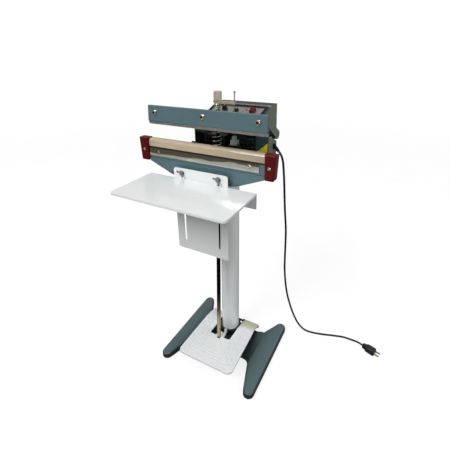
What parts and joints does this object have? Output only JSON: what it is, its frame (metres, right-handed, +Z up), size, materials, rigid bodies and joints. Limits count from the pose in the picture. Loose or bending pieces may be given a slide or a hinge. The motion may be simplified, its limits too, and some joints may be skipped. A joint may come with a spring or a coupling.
{
  "type": "foot operated impulse heat sealer",
  "caption": "Floor standing impulse sealer: a pedal and pull rod close a hinged jaw on a heated lower jaw above a slotted work table.",
  "frame": {"origin": "on the floor, under the middle of the machine's outline seen from above, cord and plug left out", "axes": "+Z up, -Y towards the operator, +X to the operator's right along the jaws"},
  "size_m": [0.7534, 0.5191, 0.9401],
  "materials": {
    "blue_paint": "satin hammered blue-grey enamel",
    "green_paint": "satin grey-green enamel",
    "white_paint": "gloss white powder coat",
    "foot_paint": "satin dark blue-green enamel on castings",
    "chrome": "bright plated steel",
    "dark_steel": "dark oiled steel",
    "aluminium": "satin aluminium",
    "red_plastic": "dark red moulded plastic",
    "black_plastic": "black plastic",
    "cloth": "glossy beige PTFE coated glass cloth",
    "cream_plate": "brushed, faintly yellowed plate",
    "black_rubber": "matt black rubber",
    "silicone": "pale silicone rubber",
    "yellow_vinyl": "plain yellow sticker",
    "board_green": "circuit board with its parts",
    "iron": "dark steel bar and laminations"
  },
  "bodies": {
    "frame": {"arm_pivot_shaft": "chrome", "base_casting": "foot_paint", "body_casting": "blue_paint", "clamp_screw_left": "chrome", "clamp_screw_right": "chrome", "clamp_strip": "chrome", "column_tube": "white_paint", "cord_gland": "black_plastic", "end_cap_left": "red_plastic", "end_cap_right": "red_plastic", "end_cap_screw_left": "chrome", "end_cap_screw_right": "chrome", "floor_pad_left_front": "black_rubber", "floor_pad_left_rear": "black_rubber", "floor_pad_right_front": "black_rubber", "floor_pad_right_rear": "black_rubber", "heating_element": "chrome", "housing_back_cover": "green_paint", "housing_front_panel": "green_paint", "housing_shell": "green_paint", "housing_side_screw": "black_plastic", "lower_jaw_bar": "iron", "mains_plug": "black_rubber", "pedal_hinge_pin": "chrome", "power_cord": "black_rubber", "ptfe_cover": "cloth", "return_spring": "chrome", "seal_relay": "aluminium", "table_bracket": "white_paint", "terminal_block": "black_plastic", "timer_board": "board_green", "transformer": "iron", "yellow_label": "yellow_vinyl"},
    "upper_arm": {"upper_jaw_beam": "blue_paint", "pressure_rail": "aluminium", "silicone_strip": "silicone", "jaw_screw_left": "chrome", "jaw_screw_middle": "chrome", "jaw_screw_right": "chrome", "arm_frame": "blue_paint", "microswitch": "black_plastic", "control_hood": "green_paint", "control_panel": "aluminium", "panel_bezel": "black_plastic"},
    "rod_swivel": {"rod_swivel_block": "chrome"},
    "pull_rod": {"pull_rod": "dark_steel", "rod_lower_nut": "chrome", "pressure_spring": "chrome", "trigger_bar": "cream_plate", "pressure_cap": "chrome", "trigger_screw": "chrome"},
    "pedal": {"pedal_plate": "white_paint"},
    "table": {"work_table": "white_paint", "flange_bolt_left": "chrome", "flange_bolt_right": "chrome"},
    "wing_bolt_left_body": {"wing_bolt_left": "chrome"},
    "wing_bolt_right_body": {"wing_bolt_right": "chrome"},
    "rocker": {"power_rocker": "red_plastic"},
    "heat_knob": {"heat_time_knob": "black_plastic"},
    "cool_knob": {"cool_time_knob": "black_plastic"}
  },
  "joints": [
    {"name": "arm_hinge", "type": "hinge", "parent": "frame", "child": "upper_arm", "pos_m": [0, 0.1965, 0.797], "axis": [1, 0, 0], "range_deg": [0, 10.4], "stiffness_Nm_per_rad": 45, "springref_deg": -22.92, "deforming": ["return_spring"]},
    {"name": "pedal_hinge", "type": "hinge", "parent": "frame", "child": "pedal", "pos_m": [0, 0.1595, 0.031], "axis": [1, 0, 0], "range_deg": [0, 11.81]},
    {"name": "rod_foot_pivot", "type": "hinge", "parent": "pedal", "child": "pull_rod", "pos_m": [0, 0.02445, 0.0536], "axis": [1, 0, 0], "range_deg": [-11.2, 0]},
    {"name": "swivel_pivot", "type": "hinge", "parent": "upper_arm", "child": "rod_swivel", "pos_m": [0, 0.0485, 0.868], "axis": [1, 0, 0], "range_deg": [-9.8, 0]},
    {"name": "table_slide", "type": "slide", "parent": "frame", "child": "table", "axis": [0, 0, 1], "range_m": [-0.17, 0]},
    {"name": "wing_bolt_left_turn", "type": "hinge", "parent": "frame", "child": "wing_bolt_left_body", "pos_m": [-0.0592, -0.0573, 0.7204], "axis": [0, -1, 0], "range_deg": [0, 180]},
    {"name": "wing_bolt_right_turn", "type": "hinge", "parent": "frame", "child": "wing_bolt_right_body", "pos_m": [0.0592, -0.0573, 0.7204], "axis": [0, -1, 0], "range_deg": [0, 180]},
    {"name": "rocker_tilt", "type": "hinge", "parent": "upper_arm", "child": "rocker", "pos_m": [0.086, 0.09834, 0.88164], "axis": [1, 0, 0], "range_deg": [0, 12]},
    {"name": "heat_knob_turn", "type": "hinge", "parent": "upper_arm", "child": "heat_knob", "pos_m": [-0.004, 0.09864, 0.88069], "axis": [0, -0.3043, 0.9526], "range_deg": [0, 270]},
    {"name": "cool_knob_turn", "type": "hinge", "parent": "upper_arm", "child": "cool_knob", "pos_m": [0.035, 0.09578, 0.87977], "axis": [0, -0.3043, 0.9526], "range_deg": [0, 270]}
  ],
  "couplings": [
    {"joint": "pedal_hinge", "follows": "arm_hinge", "ratio": 1.1345},
    {"joint": "rod_foot_pivot", "follows": "arm_hinge", "ratio": -1.0763},
    {"joint": "swivel_pivot", "follows": "arm_hinge", "ratio": -0.9417}
  ]
}
